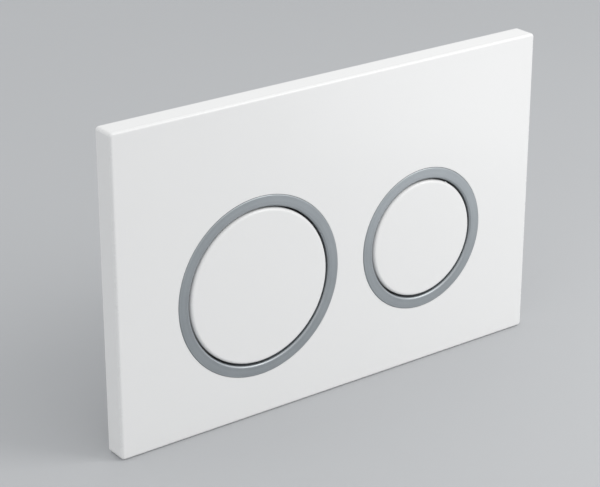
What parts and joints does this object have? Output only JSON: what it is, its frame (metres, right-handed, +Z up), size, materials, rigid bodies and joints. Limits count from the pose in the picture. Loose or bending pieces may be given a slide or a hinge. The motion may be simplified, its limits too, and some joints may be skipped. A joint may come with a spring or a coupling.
{
  "type": "flush button plate",
  "caption": "White rectangular dual-flush wall plate with a large and a small round push button in matt chrome rings, with its carrier, return springs, push rods and mounting frame.",
  "frame": {"origin": "middle of the cover plate's back rim, on the face of the wall", "axes": "+X to the right seen from the front, +Y into the wall, +Z up"},
  "size_m": [0.246, 0.0816, 0.16],
  "materials": {
    "white_plastic": "smooth, half gloss",
    "matt_chrome": "matt plated",
    "grey_plastic": "moulded, fine grain",
    "pale_plastic": "moulded, waxy",
    "dark_plastic": "moulded, fine grain",
    "steel": "bright zinc",
    "rubber": "matt"
  },
  "bodies": {
    "plate": {"cover_plate": "white_plastic", "full_flush_ring": "matt_chrome", "part_flush_ring": "matt_chrome", "carrier_frame": "grey_plastic", "mounting_frame": "grey_plastic", "distance_bolt_left": "dark_plastic", "distance_bolt_right": "dark_plastic", "clamp_nut_left": "dark_plastic", "clamp_nut_right": "dark_plastic", "carrier_screws": "steel", "latch_rivets": "steel", "latch_spring_left": "steel", "latch_spring_right": "steel", "full_flush_spring_left": "steel", "full_flush_spring_right": "steel", "part_flush_spring_left": "steel", "part_flush_spring_right": "steel", "stop_buffers": "rubber"},
    "full_flush_button": {"full_flush_cap": "white_plastic", "full_flush_plunger": "pale_plastic", "full_flush_clips": "steel", "full_flush_push_rod": "pale_plastic", "full_flush_rod_nut": "pale_plastic", "full_flush_rod_pad": "rubber"},
    "part_flush_button": {"part_flush_cap": "white_plastic", "part_flush_plunger": "pale_plastic", "part_flush_clips": "steel", "part_flush_push_rod": "pale_plastic", "part_flush_rod_nut": "pale_plastic", "part_flush_rod_pad": "rubber"}
  },
  "joints": [
    {"name": "full_flush_press", "type": "slide", "parent": "plate", "child": "full_flush_button", "axis": [0, 1, 0], "range_m": [0, 0.006], "stiffness_N_per_m": 600, "springref_m": -0.005, "deforming": ["full_flush_spring_left", "full_flush_spring_right"]},
    {"name": "part_flush_press", "type": "slide", "parent": "plate", "child": "part_flush_button", "axis": [0, 1, 0], "range_m": [0, 0.006], "stiffness_N_per_m": 600, "springref_m": -0.005, "deforming": ["part_flush_spring_left", "part_flush_spring_right"]}
  ]
}
